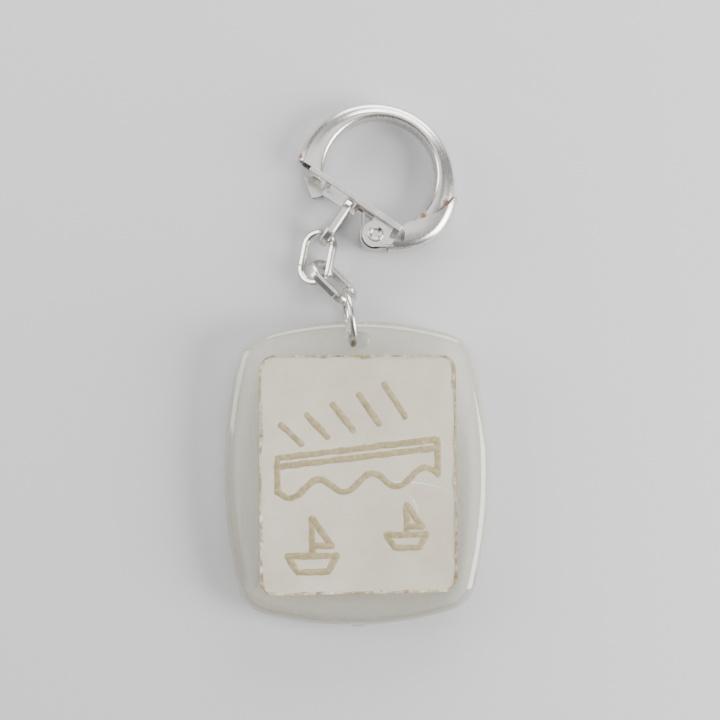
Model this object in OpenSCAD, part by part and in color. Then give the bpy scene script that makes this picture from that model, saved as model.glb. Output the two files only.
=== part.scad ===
// Keychain: clear fob with an engraved card, short link chain and gated snap ring.
// Millimetres. +X right, +Y from the fob to the snap ring, +Z up from the table.
// The origin is the centre of the fob's flat back face. The jump ring stands on
// edge in the fob's hole, so it lifts that end of the fob a little off the table.

/* [Fob] */
// Width of the fob across its middle
fob_w = 40.1; // [30:0.1:52]
// Height of the fob along the chain
fob_h = 45.9; // [34:0.1:60]
// Thickness of the fob
fob_t = 5.5; // [4.6:0.1:8]
// Radius of the bulging long sides
side_r = 70; // [50:1:120]
// Radius of the bulging top and bottom sides
top_r = 52; // [40:1:120]
// Radius of the four corners
corner_r = 5.6; // [4:0.1:8]
// Radius of the rounded rim
rim_r = 1.6; // [0.5:0.1:2.2]
// Diameter of the hanging hole
hole_d = 3.0; // [2:0.1:4]
// Distance from the fob's top edge to the middle of the hole
hole_in = 2.9; // [2.4:0.1:4]
// Width of the moulding gate nub
nub_w = 2.4; // [1:0.1:4]

/* [Cards] */
// Width of the card pockets
pocket_w = 29.7; // [20:0.1:36]
// Height of the card pockets
pocket_h = 35.7; // [24:0.1:42]
// Distance the pockets sit below the fob's middle
pocket_drop = 0.2; // [0:0.1:1]
// Corner radius of the pockets
pocket_r = 2.3; // [1:0.1:4]
// Depth of the front pocket; the back one is as deep as its card
pocket_d = 1.3; // [0.8:0.1:1.8]
// Thickness of a card
card_t = 1.1; // [0.6:0.1:1.6]
// Gap round a card, filled by the cement
card_gap = 0.25; // [0.1:0.05:0.6]
// Height of the cement
cement_t = 0.9; // [0.4:0.1:1.4]
// Width of an engraved stroke
stroke_w = 0.85; // [0.5:0.05:1.2]
// Depth of an engraved stroke
stroke_d = 0.3; // [0.15:0.05:0.5]
// Thickness of the paint in a stroke
paint_t = 0.15; // [0.08:0.01:0.3]

/* [Chain] */
// Outer diameter of the jump ring
jump_od = 9.2; // [8:0.1:12]
// Wire diameter of the jump ring
jump_wire = 1.0; // [0.7:0.1:1.3]
// Outer length of a chain link
link_l = 9.0; // [8:0.1:12]
// Outer width of a chain link
link_w = 5.7; // [5:0.1:7]
// Thickness of the link stock in the plane of the link
link_a = 1.1; // [0.8:0.05:1.3]
// Thickness of the link stock across the plane of the link
link_b = 1.5; // [1:0.05:1.7]
// Chamfer along the link stock
link_c = 0.28; // [0.1:0.02:0.4]

/* [Snap ring] */
// Outer radius of the snap ring
ring_r = 12.5; // [11:0.1:16]
// Inner radius of the snap ring
ring_in_r = 8.8; // [7.6:0.1:11]
// Distance between the middles of the outer and inner circles
ring_shift = 1.4; // [1:0.05:2]
// Thickness of the snap ring
ring_t = 3.9; // [3.6:0.05:5]
// Rounding of the ring's outer edges
ring_edge = 1.3; // [0.6:0.05:1.6]
// Rounding of the ring's inner edges
ring_in_edge = 0.6; // [0.3:0.05:0.9]
// Wall of the hollow ring
ring_wall = 0.45; // [0.3:0.05:0.6]
// Step of the hinge sleeve above the ring
sleeve_step = 0.12; // [0.06:0.01:0.2]
// Wall of the hinge sleeve
sleeve_wall = 0.45; // [0.3:0.05:0.6]
// Radius of the sleeve's pivot ears
ear_r = 2.05; // [1.7:0.05:2.4]
// Barrel diameter of the pivot eyelet
eyelet_d = 1.56; // [1.3:0.02:2]
// Rim diameter of the pivot eyelet
eyelet_rim_d = 2.45; // [2:0.05:3]
// Hole diameter of the pivot eyelet
eyelet_hole_d = 1.05; // [0.6:0.05:1.2]

/* [Gate] */
// Distance from the pivot to the gate's tip
gate_len = 13.9; // [13:0.1:17]
// Distance from the pivot to the gate's tail
gate_tail = 2.85; // [2.2:0.05:3.2]
// Distance from the pivot to the outward side of the rail
rail_y = 2.3; // [2.1:0.05:2.6]
// Width of the rail
rail_w = 0.9; // [0.6:0.05:1.2]
// Sheet thickness of the gate
gate_sheet = 0.4; // [0.3:0.05:0.5]
// Thickness of the rail and of the thumb tab
rail_t = 0.5; // [0.4:0.05:0.6]
// Height of the lower rail's underside above the table
low_rail_z = 1.9; // [1.7:0.05:2.4]
// Width of the lower rail
low_rail_w = 0.77; // [0.5:0.05:0.9]

/* [Fits] */
// Running clearance between an eyelet and a turning ear
run_fit = 0.06; // [0.03:0.01:0.1]
// Clearance between sheet parts that pass each other
sheet_gap = 0.08; // [0.05:0.01:0.15]

/* [Hidden] */
$fn = 72;
eps = 0.01;
hole_y = fob_h / 2 - hole_in;
fob_tilt = asin((jump_od / 2 - fob_t / 2) / (fob_h / 2 + hole_y));
table_z = -fob_h / 2 * sin(fob_tilt);
// Corner circles touch a side arc and a top arc from the inside.
side_c = fob_w / 2 - side_r;
top_c = fob_h / 2 - top_r;
c_dist = sqrt(side_c * side_c + top_c * top_c);
c_a = side_r - corner_r;
c_b = top_r - corner_r;
c_along = (c_a * c_a - c_b * c_b + c_dist * c_dist) / (2 * c_dist);
c_off = sqrt(c_a * c_a - c_along * c_along);
c_ux = -side_c / c_dist;
c_uy = top_c / c_dist;
corner_x = side_c + c_along * c_ux - c_off * c_uy;
corner_y = c_along * c_uy + c_off * c_ux;
side_a = atan2(corner_y, corner_x - side_c);
top_a = atan2(corner_y - top_c, corner_x);
card_w = pocket_w - 2 * card_gap;
card_h = pocket_h - 2 * card_gap;
card_r = pocket_r - card_gap;
card_top = fob_t - pocket_d + card_t;
// Chain: the jump ring's yaw, then each link as [x, y, height, yaw, pitch, roll].
jump_turn = 8.2;
jump_mid = jump_od / 2 - jump_wire / 2;
jump_x = -1.04;
jump_y = hole_y * cos(fob_tilt) + 3.3;
link_3_at = [-3.32, 28.91, 3.02, 44.9, -0.8, 52];
link_2_at = [-5.67, 32.95, 2.09, -11.4, 0.2, -27];
// Snap ring: pivot position and direction of the gate.
pivot_x = 3.13;
pivot_y = 36.27;
gate_turn = -33.8;
ring_x = -4.4;
ring_y = 7.05;
ring_in_x = -4.5;
ring_in_y = ring_y + ring_shift;
ring_z = 0.65;
nose_y = rail_y + rail_w + sheet_gap;
// The hinge sleeve tapers on a tighter circle and ends at the seam circle.
taper_x = -1.2;
taper_y = 8.1;
taper_r = 9.4;
seam_x = -4.5;
seam_y = 13.0;
seam_r = 11.6;
sleeve_z = ring_z - sleeve_step;
sleeve_t = ring_t + 2 * sleeve_step;
tongue_in = sleeve_wall - sleeve_step + sheet_gap / 2;
tongue_y = 5.8;
wall_end_x = 2.9;
slot_in_r = ear_r + 0.15;
slot_out_r = 4.5;
ear_low_z = sleeve_z + sleeve_wall + sheet_gap;
ear_high_z = sleeve_z + sleeve_t - sleeve_wall - sheet_gap - gate_sheet;
rail_z = sleeve_z + sleeve_t + sheet_gap;
window_a = -9.8;
window_b = -5.0;
low_rail_y = rail_y - 0.63 - low_rail_w;
tab_z = 0.05;
link_1_x = -6.0;
link_1_y = low_rail_y + low_rail_w + 0.33 + link_a - link_l / 2;
spring_t = 0.2;
spring_r = ear_r + 0.1;
spring_z = ear_low_z + gate_sheet + sheet_gap;
spring_h = ear_high_z - sheet_gap - spring_z;

// ---- Shared shapes ----

// Disc with rounded rim edges, standing on z = 0.
module rounded_disc(r, t, e) {
  rotate_extrude($fn = 180) {
    square([r - e, t]);
    translate([0, e]) square([r, t - 2 * e]);
    translate([r - e, e]) circle(e);
    translate([r - e, t - e]) circle(e);
  }
}

// Cutter for a bore whose two edges are rounded outward.
module rounded_bore(r, t, e) {
  rotate_extrude($fn = 180) {
    difference() {
      square([r + e, t]);
      translate([r + e, e]) circle(e);
      translate([r + e, t - e]) circle(e);
      translate([r, e]) square([2 * e, t - 2 * e]);
    }
  }
}

// Rounded rectangle plate centred on the origin.
module plate(w, h, r, t) {
  translate([-w / 2 + r, -h / 2, 0]) cube([w - 2 * r, h, t]);
  translate([-w / 2, -h / 2 + r, 0]) cube([w, h - 2 * r, t]);
  for (x = [-1, 1], y = [-1, 1])
    translate([x * (w / 2 - r), y * (h / 2 - r), 0]) cylinder(r = r, h = t);
}

// Everything fixed to the fob lies tilted by the jump ring.
module on_fob() {
  rotate([fob_tilt, 0, 0]) children();
}

// Frame of the snap ring: pivot at the origin, rail along -X, table at z = 0.
module at_pivot() {
  translate([pivot_x, pivot_y, table_z]) rotate([0, 0, gate_turn]) children();
}

// ---- Fob ----

// Outline of the fob with every edge drawn in by an inset.
module fob_outline(inset) {
  right = arc_points(side_c, 0, side_r - inset, -side_a, side_a, 16);
  corner = arc_points(corner_x, corner_y, corner_r - inset, side_a, top_a, 12);
  top = arc_points(0, top_c, top_r - inset, top_a, 180 - top_a, 16);
  quarter_right = concat(right, corner, top);
  polygon(concat(
    quarter_right,
    [for (p = arc_points(corner_x, corner_y, corner_r - inset, top_a, side_a, 12)) [-p[0], p[1]]],
    [for (p = arc_points(side_c, 0, side_r - inset, side_a, -side_a, 16)) [-p[0], p[1]]],
    [for (p = arc_points(corner_x, corner_y, corner_r - inset, side_a, top_a, 12)) [-p[0], -p[1]]],
    [for (p = arc_points(0, top_c, top_r - inset, 180 - top_a, top_a, 16)) [p[0], -p[1]]],
    [for (p = arc_points(corner_x, corner_y, corner_r - inset, top_a, side_a, 12)) [p[0], -p[1]]]
  ));
}

// Points inside an arc, without its two ends.
function arc_points(cx, cy, r, a, b, n) =
  [for (i = [1 : n - 1]) [cx + r * cos(a + (b - a) * i / n), cy + r * sin(a + (b - a) * i / n)]];

// Barrel-shaped slab with both rims rounded by four flats.
module fob_outline_solid() {
  hull()
    for (i = [0 : 4]) {
      a = 90 * i / 4;
      translate([0, 0, rim_r * (1 - cos(a))])
        linear_extrude(fob_t - 2 * rim_r * (1 - cos(a)))
          fob_outline(rim_r * (1 - sin(a)));
    }
}

module fob_body() {
  color([0.86, 0.86, 0.78, 0.5])
    on_fob() {
      difference() {
        fob_outline_solid();
        translate([0, -pocket_drop, fob_t - pocket_d]) plate(pocket_w, pocket_h, pocket_r, pocket_d + 1);
        translate([0, -pocket_drop, -1]) plate(pocket_w, pocket_h, pocket_r, card_t + 1);
        translate([0, hole_y, -1]) cylinder(d = hole_d, h = fob_t + 2);
      }
      translate([-nub_w / 2, -fob_h / 2 - 0.35, fob_t / 2 - 0.7]) cube([nub_w, 1, 1.4]);
    }
}

// ---- Cards ----

// One straight engraved stroke between two points.
module bar(p, q, h) {
  dx = q[0] - p[0];
  dy = q[1] - p[1];
  translate([p[0], p[1], 0])
    rotate([0, 0, atan2(dy, dx)])
      translate([0, -stroke_w / 2, 0]) cube([sqrt(dx * dx + dy * dy), stroke_w, h]);
}

// Strokes along a list of points.
module path(pts, h) {
  for (i = [0 : len(pts) - 2]) bar(pts[i], pts[i + 1], h);
}

// Five slanting rays.
module rays(h) {
  for (i = [0 : 4])
    path([[-8.6 + 3.9 * i, 4.4 + 1.0 * i], [-11.6 + 3.9 * i, 7.2 + 1.5 * i]], h);
}

// Middle line of the wave, from the left post to the right one.
function wave_y(i) = -2.7 + 2.4 * i / 36 - 1.2 * sin(30 * i);

// Rising double line over a wave.
module shore(h) {
  path([[-12.2, -3.0], [-12.2, 2.3], [12.0, 4.9], [12.0, -0.6]], h);
  bar([-12.2, 1.0], [12.0, 3.6], h);
  linear_extrude(h)
    polygon(concat(
      [for (i = [0 : 36]) [-12.2 + 24.2 * i / 36, wave_y(i) + 0.55 * stroke_w]],
      [for (i = [36 : -1 : 0]) [-12.2 + 24.2 * i / 36, wave_y(i) - 0.55 * stroke_w]]
    ));
}

// A small boat: hull, mast and sail.
module boat(x, y, s, h) {
  translate([x, y, 0]) {
    path([[-4 * s, 1.4 * s], [-2.4 * s, -1.2 * s], [2.6 * s, -1.2 * s], [4 * s, 1.4 * s]], h);
    bar([-4 * s, 1.4 * s], [4 * s, 1.4 * s], h);
    path([[0, 1.8 * s], [0, 7.4 * s], [3.2 * s, 3.0 * s]], h);
    bar([3.2 * s, 3.0 * s], [0, 3.0 * s], h);
  }
}

module motif(h) {
  rays(h);
  shore(h);
  boat(-7.0, -13.6, 0.92, h);
  boat(7.2, -10.4, 0.74, h);
}

module front_card() {
  color([0.87, 0.85, 0.78])
    on_fob()
      difference() {
        translate([0, -pocket_drop, fob_t - pocket_d]) plate(card_w, card_h, card_r, card_t);
        translate([0, 0, card_top - stroke_d]) motif(stroke_d + 1);
      }
}

module front_motif() {
  color([0.7, 0.62, 0.4])
    on_fob() translate([0, 0, card_top - stroke_d]) motif(paint_t);
}

module back_card() {
  color([0.87, 0.85, 0.78])
    on_fob() translate([0, -pocket_drop, 0]) plate(card_w, card_h, card_r, card_t);
}

module cement() {
  difference() {
    plate(pocket_w, pocket_h, pocket_r, cement_t);
    translate([0, 0, -1]) plate(card_w, card_h, card_r, cement_t + 2);
  }
}

module front_cement() {
  color([0.55, 0.45, 0.3]) on_fob() translate([0, -pocket_drop, fob_t - pocket_d]) cement();
}

module back_cement() {
  color([0.55, 0.45, 0.3]) on_fob() translate([0, -pocket_drop, card_t - cement_t]) cement();
}

// ---- Chain ----

module jump_ring() {
  color([0.75, 0.74, 0.7])
    translate([jump_x, jump_y, table_z + jump_od / 2])
      rotate([0, 0, jump_turn])
        rotate([0, 90, 0])
          rotate_extrude($fn = 96) translate([jump_mid, 0]) circle(d = jump_wire, $fn = 36);
}

// Cross-section of the link stock, chamfered on all four corners.
module link_section() {
  a = link_a / 2;
  b = link_b / 2;
  c = link_c;
  polygon([
    [-a, -b + c], [-a + c, -b], [a - c, -b], [a, -b + c],
    [a, b - c], [a - c, b], [-a + c, b], [-a, b - c]
  ]);
}

// Link lying flat, long axis on Y, middle at the origin.
module link() {
  mid = (link_w - link_a) / 2;
  half = (link_l - link_w) / 2;
  for (s = [0, 180])
    rotate([0, 0, s]) {
      translate([0, half, 0])
        rotate_extrude(angle = 180, $fn = 72) translate([mid, 0]) link_section();
      translate([mid, half, 0])
        rotate([90, 0, 0]) linear_extrude(2 * half) link_section();
    }
}

module link_at(p) {
  translate([p[0], p[1], table_z + p[2]])
    rotate([0, 0, p[3]]) rotate([p[4], 0, 0]) rotate([0, p[5], 0]) link();
}

module link_3() {
  color([0.76, 0.75, 0.71]) link_at(link_3_at);
}

module link_2() {
  color([0.76, 0.75, 0.71]) link_at(link_2_at);
}

// Link 1 stands on edge, square to the gate.
module link_1() {
  color([0.76, 0.75, 0.71])
    at_pivot() translate([link_1_x, link_1_y, link_w / 2]) rotate([0, 90, 0]) link();
}

// ---- Snap ring ----

// The open crescent, drawn in by a given inset on every side.
module crescent(inset) {
  difference() {
    translate([ring_x, ring_y, ring_z + inset])
      rounded_disc(ring_r - inset, ring_t - 2 * inset, ring_edge - inset * 0.7);
    translate([ring_in_x, ring_in_y, ring_z + inset])
      rounded_bore(ring_in_r + inset, ring_t - 2 * inset, ring_in_edge);
  }
}

module seam_disc(grow) {
  translate([seam_x, seam_y, -1]) cylinder(r = seam_r + grow, h = 8, $fn = 180);
}

module ring_shell() {
  cavity_in = tongue_in + ring_wall;
  color([0.78, 0.77, 0.73])
    at_pivot()
      difference() {
        union() {
          difference() {
            crescent(0);
            translate([-20, -20, -1]) cube([40, 20 + nose_y, 8]);
            difference() {
              translate([0, -20, -1]) cube([30, 50, 8]);
              seam_disc(0);
            }
          }
          // Tongue inside the hinge sleeve.
          intersection() {
            crescent(tongue_in);
            sleeve_body(sleeve_wall + sheet_gap / 2);
            translate([0, tongue_y, -1]) cube([30, 12, 8]);
          }
        }
        intersection() {
          crescent(cavity_in);
          union() {
            translate([-20, nose_y + 0.9, -1]) cube([20, 30, 8]);
            translate([-1, 4, -1]) cube([30, 30, 8]);
          }
        }
        translate([ring_in_x, ring_in_y, ring_z + ring_t / 2 - 0.07])
          cylinder(r = ring_in_r + 0.15, h = 0.14, $fn = 180);
      }
}

// Full body of the sleeve before it is hollowed, drawn in by an inset.
module sleeve_body(inset) {
  t = sleeve_t - 2 * inset;
  e = ring_edge - inset * 0.7;
  intersection() {
    translate([ring_x, ring_y, sleeve_z + inset]) rounded_disc(ring_r + sleeve_step - inset, t, e);
    translate([taper_x, taper_y, sleeve_z + inset]) rounded_disc(taper_r + sleeve_step - inset, t, e);
  }
}

// Ear plate joined to the sleeve, at a given height.
module ear_plate(z) {
  translate([0, 0, z]) {
    cylinder(r = ear_r, h = sleeve_wall);
    linear_extrude(sleeve_wall)
      polygon([[0.6, -1.9], [3.3, 0.2], [4.6, 1.0], [3.4, 1.2], [2.0, 0.8], [0.6, 0.8]]);
  }
}

module hinge_sleeve() {
  high = sleeve_z + sleeve_t - sleeve_wall;
  color([0.76, 0.75, 0.71])
    at_pivot()
      difference() {
        union() {
          difference() {
            sleeve_body(0);
            sleeve_body(sleeve_wall);
            seam_disc(0.03);
            translate([ring_in_x, ring_in_y, -1]) cylinder(r = ring_in_r, h = 8, $fn = 180);
            translate([-20, -10, -1]) cube([20 + wall_end_x, 40, 8]);
            translate([-20, 12.2, -1]) cube([40, 20, 8]);
          }
          ear_plate(sleeve_z);
          ear_plate(high);
        }
        translate([0, 0, high - 0.2])
          intersection() {
            rotate([0, 0, 18])
              rotate_extrude(angle = 60)
                translate([slot_in_r, 0]) square([slot_out_r - slot_in_r, 1]);
            translate([0, 0, -1]) cube([6, rail_y + gate_sheet + sheet_gap, 3]);
          }
        translate([0, 0, -1]) cylinder(d = eyelet_d, h = 8);
      }
}

// ---- Gate ----

module gate_ear(z) {
  translate([0, 0, z]) {
    cylinder(r = ear_r - 0.15, h = gate_sheet);
    linear_extrude(gate_sheet)
      polygon([[-1.8, 0], [-1.5, rail_y + 0.1], [1.9, rail_y + 0.1], [1.8, 0]]);
  }
}

module gate() {
  web_top = rail_z + eps;
  post = 1.0;
  color([0.77, 0.76, 0.72])
    at_pivot()
      difference() {
        union() {
          // Top rail with a rounded tip.
          translate([-gate_len + rail_w / 2, rail_y, rail_z])
            cube([gate_len - rail_w / 2 + gate_tail, rail_w, rail_t]);
          translate([-gate_len + rail_w / 2, rail_y + rail_w / 2, rail_z])
            cylinder(d = rail_w, h = rail_t);
          // Web from the window to the tail.
          translate([window_b, rail_y, ear_low_z])
            cube([gate_tail - window_b, gate_sheet, web_top - ear_low_z]);
          // Post on the far side of the window.
          translate([window_a - post, rail_y, tab_z])
            cube([post, gate_sheet, web_top - tab_z]);
          // Lower rail across the window and its two end blocks.
          translate([window_a - 0.6, low_rail_y, low_rail_z])
            cube([window_b - window_a + 1.2, low_rail_w, rail_t + 0.1]);
          translate([window_a - 0.6, low_rail_y, low_rail_z])
            cube([0.6, rail_y - low_rail_y + eps, rail_t + 0.1]);
          translate([window_b, low_rail_y, low_rail_z])
            cube([0.6, rail_y - low_rail_y + eps, rail_t + 0.1]);
          // Thumb tab under the ring's nose.
          translate([0, 0, tab_z])
            linear_extrude(rail_t)
              polygon([
                [window_a, rail_y + gate_sheet], [window_a, 1.5], [-11.4, -0.1],
                [-14.4, 2.1], [-13.3, 2.6], [-13.1, 3.1], [-11.6, 3.1]
              ]);
          gate_ear(ear_low_z);
          gate_ear(ear_high_z);
        }
        // The rail is a little narrower past the window.
        translate([-20, rail_y - 1, rail_z - 0.3])
          cube([20 + window_b - 0.4, 1.15, rail_t + 1]);
        translate([0, 0, -1]) cylinder(d = eyelet_d + 2 * run_fit, h = 8);
      }
}

// Bent strip: an arc round the pivot, a leg up to the apex and a leg on the web.
module leaf_spring() {
  leg_y = rail_y - sheet_gap - spring_t;
  apex_x = -3.4;
  color([0.6, 0.58, 0.54])
    at_pivot()
      translate([0, 0, spring_z]) {
        rotate([0, 0, 175])
          rotate_extrude(angle = 160)
            translate([spring_r, 0]) square([spring_t, spring_h]);
        linear_extrude(spring_h)
          polygon([
            [-spring_r - spring_t, 0.25], [-spring_r, 0.25], [-spring_r, -0.1],
            [-spring_r - spring_t + 0.02, -0.3]
          ]);
        linear_extrude(spring_h)
          polygon([
            [-spring_r - spring_t, 0.2], [-spring_r, 0.2],
            [apex_x + 0.25, leg_y], [0.1, leg_y], [0.1, leg_y + spring_t],
            [apex_x, leg_y + spring_t], [apex_x - 0.1, leg_y - 0.1]
          ]);
        linear_extrude(spring_h)
          polygon([[1.5, -1.68], [1.62, -1.5], [2.62, -0.36], [2.77, -0.48], [1.66, -1.72]]);
      }
}

module pivot_eyelet() {
  rim_t = 0.2;
  color([0.7, 0.69, 0.66])
    at_pivot()
      difference() {
        union() {
          translate([0, 0, sleeve_z - rim_t]) cylinder(d = eyelet_d, h = sleeve_t + 2 * rim_t);
          translate([0, 0, sleeve_z - rim_t]) cylinder(d = eyelet_rim_d, h = rim_t);
          translate([0, 0, sleeve_z + sleeve_t]) cylinder(d = eyelet_rim_d, h = rim_t);
        }
        translate([0, 0, -1]) cylinder(d = eyelet_hole_d, h = 8);
      }
}

fob_body();
front_card();
front_motif();
front_cement();
back_card();
back_cement();
jump_ring();
link_3();
link_2();
link_1();
ring_shell();
hinge_sleeve();
gate();
leaf_spring();
pivot_eyelet();
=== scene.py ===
# %% [markdown]
# # A keychain: clear fob, three links and a snap ring with a gate
#
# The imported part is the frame. It says where each body sits and how it moves, and
# this script draws every piece again over it with the rounding, wear and finish of
# the real thing. Shapes are worked in millimetres and turned into metres once, when
# a piece is finished.

# %% Load the frame
import math

import bpy
import bmesh
from mathutils import Matrix, Vector, noise


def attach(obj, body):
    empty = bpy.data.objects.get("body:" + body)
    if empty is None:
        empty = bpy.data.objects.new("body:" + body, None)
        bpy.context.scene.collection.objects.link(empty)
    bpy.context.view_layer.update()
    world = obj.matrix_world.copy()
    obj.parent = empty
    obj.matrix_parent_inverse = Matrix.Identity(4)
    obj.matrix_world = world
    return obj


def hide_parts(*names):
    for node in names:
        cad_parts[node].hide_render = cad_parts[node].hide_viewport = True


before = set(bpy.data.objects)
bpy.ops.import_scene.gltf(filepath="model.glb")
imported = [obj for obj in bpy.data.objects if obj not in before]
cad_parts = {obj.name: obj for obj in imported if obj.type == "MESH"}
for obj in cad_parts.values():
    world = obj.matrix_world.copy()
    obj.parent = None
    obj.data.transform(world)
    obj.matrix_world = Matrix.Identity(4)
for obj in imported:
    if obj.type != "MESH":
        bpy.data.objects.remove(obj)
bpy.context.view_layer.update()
print("nodes:", ", ".join(sorted(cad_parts)))

# %% [markdown]
# ## Sizes
#
# A maker would write these on the drawing first. The tilt of the fob comes from the
# jump ring, which stands on edge in the fob's hole and lifts that end off the table.

# %% Sizes, in millimetres
FOB_W, FOB_H, FOB_T = 40.1, 45.9, 5.5
SIDE_R, TOP_R, CORNER_R = 70.0, 52.0, 5.6
HOLE_R, HOLE_IN = 1.5, 2.9
HOLE_Y = FOB_H / 2 - HOLE_IN
POCKET_W, POCKET_H, POCKET_R, POCKET_D = 29.7, 35.7, 2.3, 1.3
POCKET_DROP, CARD_GAP, CARD_T = 0.2, 0.25, 1.1
CARD_W, CARD_H = POCKET_W - 2 * CARD_GAP, POCKET_H - 2 * CARD_GAP
JUMP_OD, JUMP_WIRE, JUMP_YAW = 9.2, 1.0, 8.2
LINK_L, LINK_W, LINK_A, LINK_B, LINK_C = 9.0, 5.7, 1.1, 1.5, 0.28
RIM_ROUND, HOLE_ROUND, CARD_ROUND, STROKE_W = 1.9, 0.3, 0.08, 0.95
WEAR, LINK_JOINT, HAND_BEND = 0.08, 0.1, 0.02
PIVOT, GATE_TURN = (3.13, 36.27), -33.8
TILT = math.asin((JUMP_OD / 2 - FOB_T / 2) / (FOB_H / 2 + HOLE_Y))
TABLE = -FOB_H / 2 * math.sin(TILT)
CARD_TOP = FOB_T - POCKET_D + CARD_T
print("the fob leans", round(math.degrees(TILT), 2), "degrees; the table is at", round(TABLE, 3), "mm")

# %% [markdown]
# ## Where things go
#
# Each group is drawn in its own easy frame. The fob is drawn lying flat, a link is
# drawn with its long axis on Y, and the snap ring is drawn with its pivot at the
# origin and the gate along -X. A matrix then puts it in place, so that every object
# stays at the origin and only its mesh is moved.

# %% Frames
FLAT_TO_FOB = Matrix.Rotation(TILT, 4, "X")
RING_TO_TABLE = Matrix.Translation((*PIVOT, TABLE)) @ Matrix.Rotation(math.radians(GATE_TURN), 4, "Z")


def turn(degrees, axis):
    return Matrix.Rotation(math.radians(degrees), 4, axis)


def link_frame(x, y, height, yaw, pitch, roll):
    return Matrix.Translation((x, y, TABLE + height)) @ turn(yaw, "Z") @ turn(pitch, "X") @ turn(roll, "Y")


LINK_3 = link_frame(-3.32, 28.91, 3.02, 44.9, -0.8, 52)
LINK_2 = link_frame(-5.67, 32.95, 2.09, -11.4, 0.2, -27)
LINK_1 = RING_TO_TABLE @ Matrix.Translation((-6.0, -1.4, LINK_W / 2)) @ turn(90, "Y")
JUMP_Y = HOLE_Y * math.cos(TILT) + 3.3
JUMP = Matrix.Translation((-1.04, JUMP_Y, TABLE + JUMP_OD / 2)) @ turn(JUMP_YAW, "Z") @ turn(90, "Y")
print("jump ring centre at", [round(v, 2) for v in JUMP.translation])

# %% [markdown]
# ## Finishing a piece
#
# Every piece ends the same way: faces made to point outwards, millimetres turned to
# metres, smooth shading with the crisp edges kept, then it is parented to the empty
# of the body it rides on, given its finish, and the CAD nodes it stands for are hidden.

# %% Finish a piece
def finish_piece(name, bm, place, body, finish, nodes, crisp=35, bevel=0.0, steps=2):
    bmesh.ops.remove_doubles(bm, verts=bm.verts, dist=0.0004)
    bmesh.ops.recalc_face_normals(bm, faces=bm.faces)
    bm.transform(Matrix.Scale(0.001, 4) @ place)
    mesh = bpy.data.meshes.new(name)
    bm.to_mesh(mesh)
    bm.free()
    mesh.shade_smooth()
    mesh.set_sharp_from_angle(angle=math.radians(crisp))
    mesh.materials.append(finish)
    piece = bpy.data.objects.new(name, mesh)
    bpy.context.scene.collection.objects.link(piece)
    if bevel:
        soften = piece.modifiers.new("eased edges", "BEVEL")
        soften.width, soften.segments = bevel / 1000, steps
        soften.limit_method, soften.angle_limit = "ANGLE", math.radians(crisp)
        soften.harden_normals = True
    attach(piece, body)
    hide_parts(*nodes)
    print(name, "has", len(mesh.polygons), "faces")
    return piece


# %% Points on an arc
def arc(cx, cy, r, start, end, n):
    """n + 1 points from one angle to the other, in degrees."""
    angles = [math.radians(start + (end - start) * i / n) for i in range(n + 1)]
    return [(cx + r * math.cos(a), cy + r * math.sin(a)) for a in angles]


def card_outline(w, h, r, n=8):
    """Rectangle with rounded corners, centred on the pocket."""
    out = []
    for sx, sy, start in ((1, 1, 0), (-1, 1, 90), (-1, -1, 180), (1, -1, 270)):
        out += arc(sx * (w / 2 - r), sy * (h / 2 - r) - POCKET_DROP, r, start, start + 90, n)
    return out


# %% Plate from an outline
def plate(bm, outline, low, high):
    """A face from the outline, extruded to a plate. Returns all its faces."""
    base = bm.faces.new([bm.verts.new((x, y, low)) for x, y in outline])
    made = bmesh.ops.extrude_face_region(bm, geom=[base])["geom"]
    top = [g for g in made if isinstance(g, bmesh.types.BMVert)]
    bmesh.ops.translate(bm, verts=top, vec=(0, 0, high - low))
    faces = set(f for v in top for f in v.link_faces)
    faces.add(base)
    return faces


# %% Join and cut
def combine(piece, tool_bm, place, way):
    """Adds a second shape to a piece or cuts it out, and keeps only the result."""
    bmesh.ops.recalc_face_normals(tool_bm, faces=tool_bm.faces)
    tool_bm.transform(Matrix.Scale(0.001, 4) @ place)
    mesh = bpy.data.meshes.new("tool")
    tool_bm.to_mesh(mesh)
    tool_bm.free()
    tool = bpy.data.objects.new("tool", mesh)
    bpy.context.scene.collection.objects.link(tool)
    work = piece.modifiers.new(way, "BOOLEAN")
    work.operation, work.solver, work.object = way, "EXACT", tool
    bpy.context.view_layer.update()
    done = bpy.data.meshes.new_from_object(piece.evaluated_get(bpy.context.evaluated_depsgraph_get()))
    piece.modifiers.remove(work)
    piece.data = done
    bpy.data.objects.remove(tool)
    done.set_sharp_from_angle(angle=math.radians(35))
    return piece


# %% [markdown]
# ## Finishes: plated metal
#
# The ring, gate and links are pressed or formed steel with a thin bright plating.
# Age shows as a slightly cloudy shine, fine scratches that run one way, pin-prick
# pits and rust where two parts rub. The eyelet's bore is darkened with painted
# shade, a near-black colour. All patterns read Object coordinates, which are
# metres here, so a Mapping node first scales them to millimetres.

# %% Node helpers
def start_finish(name):
    finish = bpy.data.materials.new(name)
    finish.use_nodes = True
    tree = finish.node_tree
    place = tree.nodes.new("ShaderNodeTexCoord").outputs["Object"]
    return finish, tree, tree.nodes["Principled BSDF"], place


def grain(tree, place, per_mm, detail=5, rough=0.6, stretch=(1, 1, 1), turned=0):
    """Noise with so many lumps to a millimetre, stretched into streaks if wanted."""
    to_mm = tree.nodes.new("ShaderNodeMapping")
    to_mm.inputs["Scale"].default_value = [1000 * s for s in stretch]
    to_mm.inputs["Rotation"].default_value = (0, 0, math.radians(turned))
    lumps = tree.nodes.new("ShaderNodeTexNoise")
    lumps.inputs["Scale"].default_value = per_mm
    lumps.inputs["Detail"].default_value = detail
    lumps.inputs["Roughness"].default_value = rough
    tree.links.new(place, to_mm.inputs["Vector"])
    tree.links.new(to_mm.outputs["Vector"], lumps.inputs["Vector"])
    return lumps.outputs["Fac"]


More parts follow.
